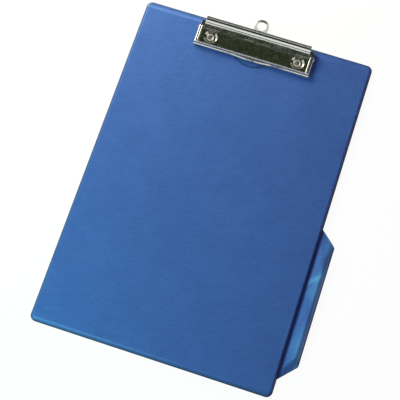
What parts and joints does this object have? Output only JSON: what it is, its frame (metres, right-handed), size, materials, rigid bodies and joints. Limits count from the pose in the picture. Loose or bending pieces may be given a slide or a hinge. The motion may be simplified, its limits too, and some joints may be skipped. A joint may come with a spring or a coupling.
{
  "type": "clipboard",
  "caption": "Portrait clipboard covered in blue vinyl, with a chrome lever clip riveted on, a pull-out hanging loop, a grip pad under the cover and a pen pocket welded along its right edge.",
  "frame": {"origin": "centre of the board's own outline (the pen pocket left out), on its back face", "axes": "+X towards the pen pocket, +Y towards the clip along the board, +Z out of the writing face"},
  "size_m": [0.2504, 0.3554, 0.0126],
  "materials": {
    "vinyl": "soft vinyl film, fine leather grain, low sheen",
    "fibreboard": "raw pressed fibreboard, sealed inside the cover",
    "pad_felt": "thin pressed felt, sealed inside the cover",
    "chrome_plate": "bright chrome plate",
    "spring_steel": "plain spring steel",
    "pin_steel": "nickel plated steel"
  },
  "bodies": {
    "board": {"core_board": "fibreboard", "grip_pad": "pad_felt", "front_cover": "vinyl", "back_cover": "vinyl", "pocket_front": "vinyl", "clip_plate": "chrome_plate", "hinge_pin_left": "pin_steel", "hinge_pin_right": "pin_steel", "spring_left": "spring_steel", "spring_right": "spring_steel", "spring_stud_left": "pin_steel", "spring_stud_right": "pin_steel", "rivet_left": "pin_steel", "rivet_right": "pin_steel", "rivet_washer_left": "pin_steel", "rivet_washer_right": "pin_steel"},
    "jaw": {"jaw": "chrome_plate"},
    "hanger": {"hanger": "chrome_plate"}
  },
  "joints": [
    {"name": "jaw_hinge", "type": "hinge", "parent": "board", "child": "jaw", "pos_m": [0, 0.1574, 0.0058], "axis": [-1, 0, 0], "range_deg": [0, 18], "stiffness_Nm_per_rad": 0.5, "springref_deg": -28.65, "deforming": ["spring_left", "spring_right"]},
    {"name": "hanger_slide", "type": "slide", "parent": "board", "child": "hanger", "axis": [0, 1, 0], "range_m": [-0.0133, 0]}
  ]
}
